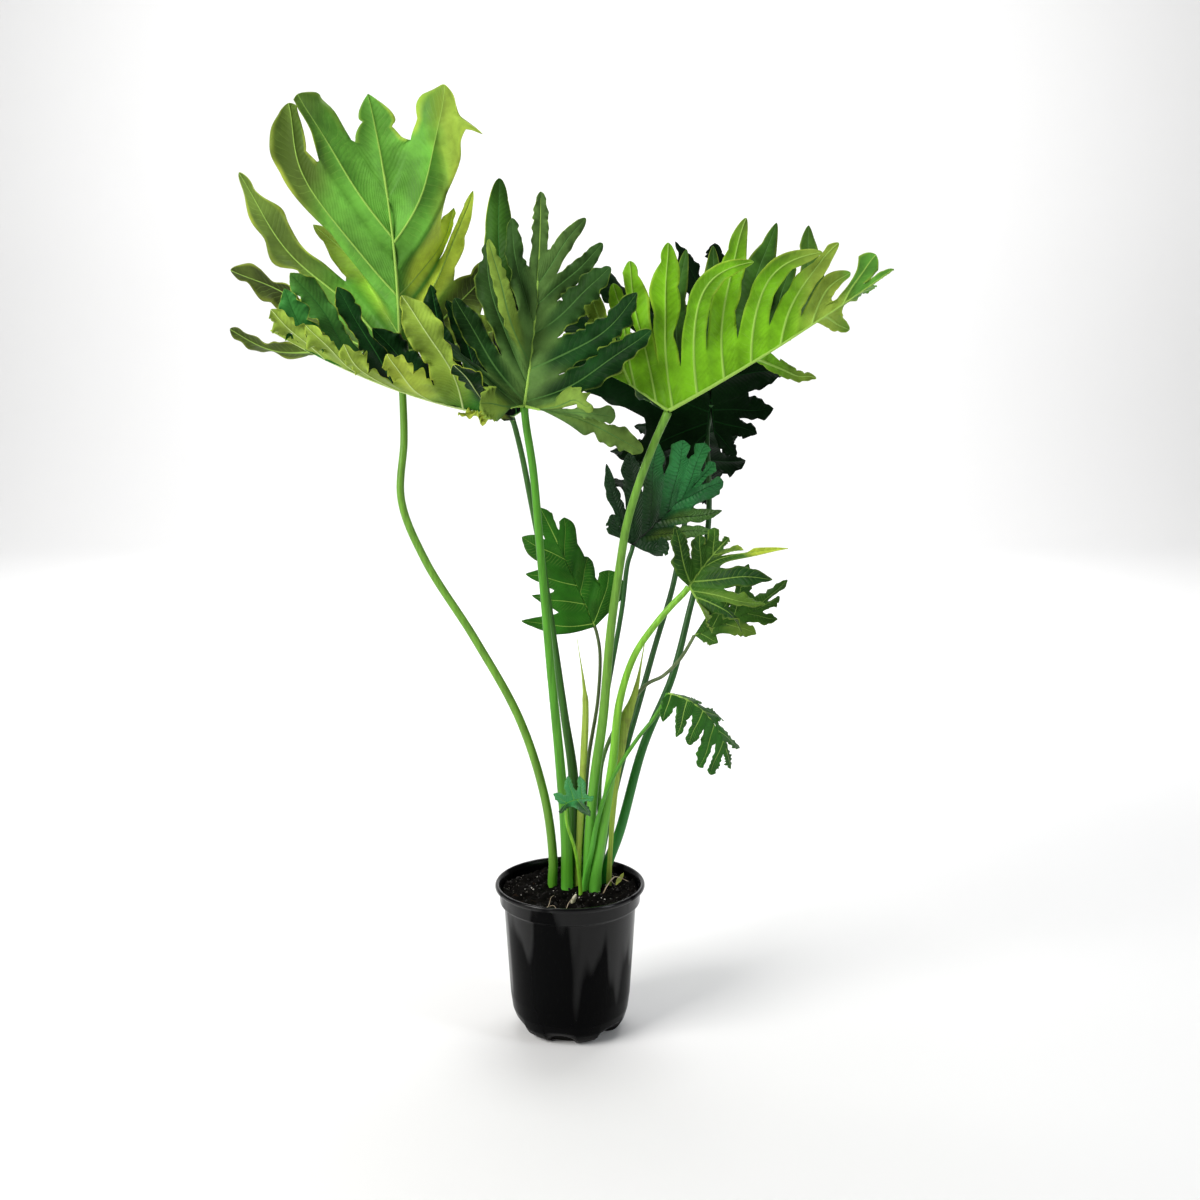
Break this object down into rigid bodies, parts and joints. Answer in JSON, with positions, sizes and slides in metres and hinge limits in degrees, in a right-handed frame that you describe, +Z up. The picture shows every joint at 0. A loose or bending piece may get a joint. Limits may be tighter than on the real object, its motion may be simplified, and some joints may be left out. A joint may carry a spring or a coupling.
{
  "type": "potted lacy tree philodendron",
  "caption": "Lacy tree philodendron with deeply cut, ruffled leaves on long stalks, standing in a round black plastic nursery pot with a rolled rim and a notched foot.",
  "frame": {"origin": "centre of the flat middle of the pot's underside, on the floor", "axes": "+Z up along the pot's axis; the plant is seen from -Y; +X to the viewer's right"},
  "size_m": [0.8423, 0.5104, 1.2271],
  "materials": {
    "stalk_tall_left": "smooth satin leaf stalk",
    "blade_tall_left": "upright leaf, bright green underside with yellow-green edges",
    "stalk_low_left": "smooth satin leaf stalk",
    "blade_low_left": "ruffled leaf, teal green above and yellow-green below",
    "stalk_centre": "smooth satin leaf stalk",
    "blade_centre": "finely cut leaf, dark grey-green",
    "stalk_right": "smooth satin leaf stalk",
    "blade_right": "bright yellow-green underside with pale raised veins",
    "stalk_shaded": "smooth satin leaf stalk",
    "blade_shaded": "near-black green leaf at the back",
    "stalk_rear": "smooth satin leaf stalk",
    "blade_rear": "near-black green lower leaf at the back",
    "stalk_small_left": "smooth satin leaf stalk",
    "blade_small_left": "mid green speckled leaf",
    "stalk_mid_right": "smooth satin leaf stalk",
    "blade_mid_right": "dark glossy green leaf",
    "stalk_pale_right": "smooth satin leaf stalk",
    "blade_pale_right": "green folded leaf with a lime stalk",
    "stalk_under_right": "smooth satin leaf stalk",
    "blade_under_right": "dark green small leaf",
    "stalk_drooping": "smooth satin leaf stalk",
    "blade_drooping": "green comb-like drooping leaf",
    "stalk_young": "smooth satin leaf stalk",
    "blade_young": "small green young leaf",
    "sheath": "dry papery pale yellow-green",
    "soil": "matt black potting soil with white specks",
    "pot": "glossy black injection-moulded plastic"
  },
  "bodies": {
    "root": {"stalk_tall_left": "stalk_tall_left", "blade_tall_left": "blade_tall_left", "stalk_low_left": "stalk_low_left", "blade_low_left": "blade_low_left", "stalk_centre": "stalk_centre", "blade_centre": "blade_centre", "stalk_right": "stalk_right", "blade_right": "blade_right", "stalk_shaded": "stalk_shaded", "blade_shaded": "blade_shaded", "stalk_rear": "stalk_rear", "blade_rear": "blade_rear", "stalk_small_left": "stalk_small_left", "blade_small_left": "blade_small_left", "stalk_mid_right": "stalk_mid_right", "blade_mid_right": "blade_mid_right", "stalk_pale_right": "stalk_pale_right", "blade_pale_right": "blade_pale_right", "stalk_under_right": "stalk_under_right", "blade_under_right": "blade_under_right", "stalk_drooping": "stalk_drooping", "blade_drooping": "blade_drooping", "stalk_young": "stalk_young", "blade_young": "blade_young", "sheath_left": "sheath", "sheath_right": "sheath", "soil": "soil", "pot": "pot"}
  },
  "joints": []
}
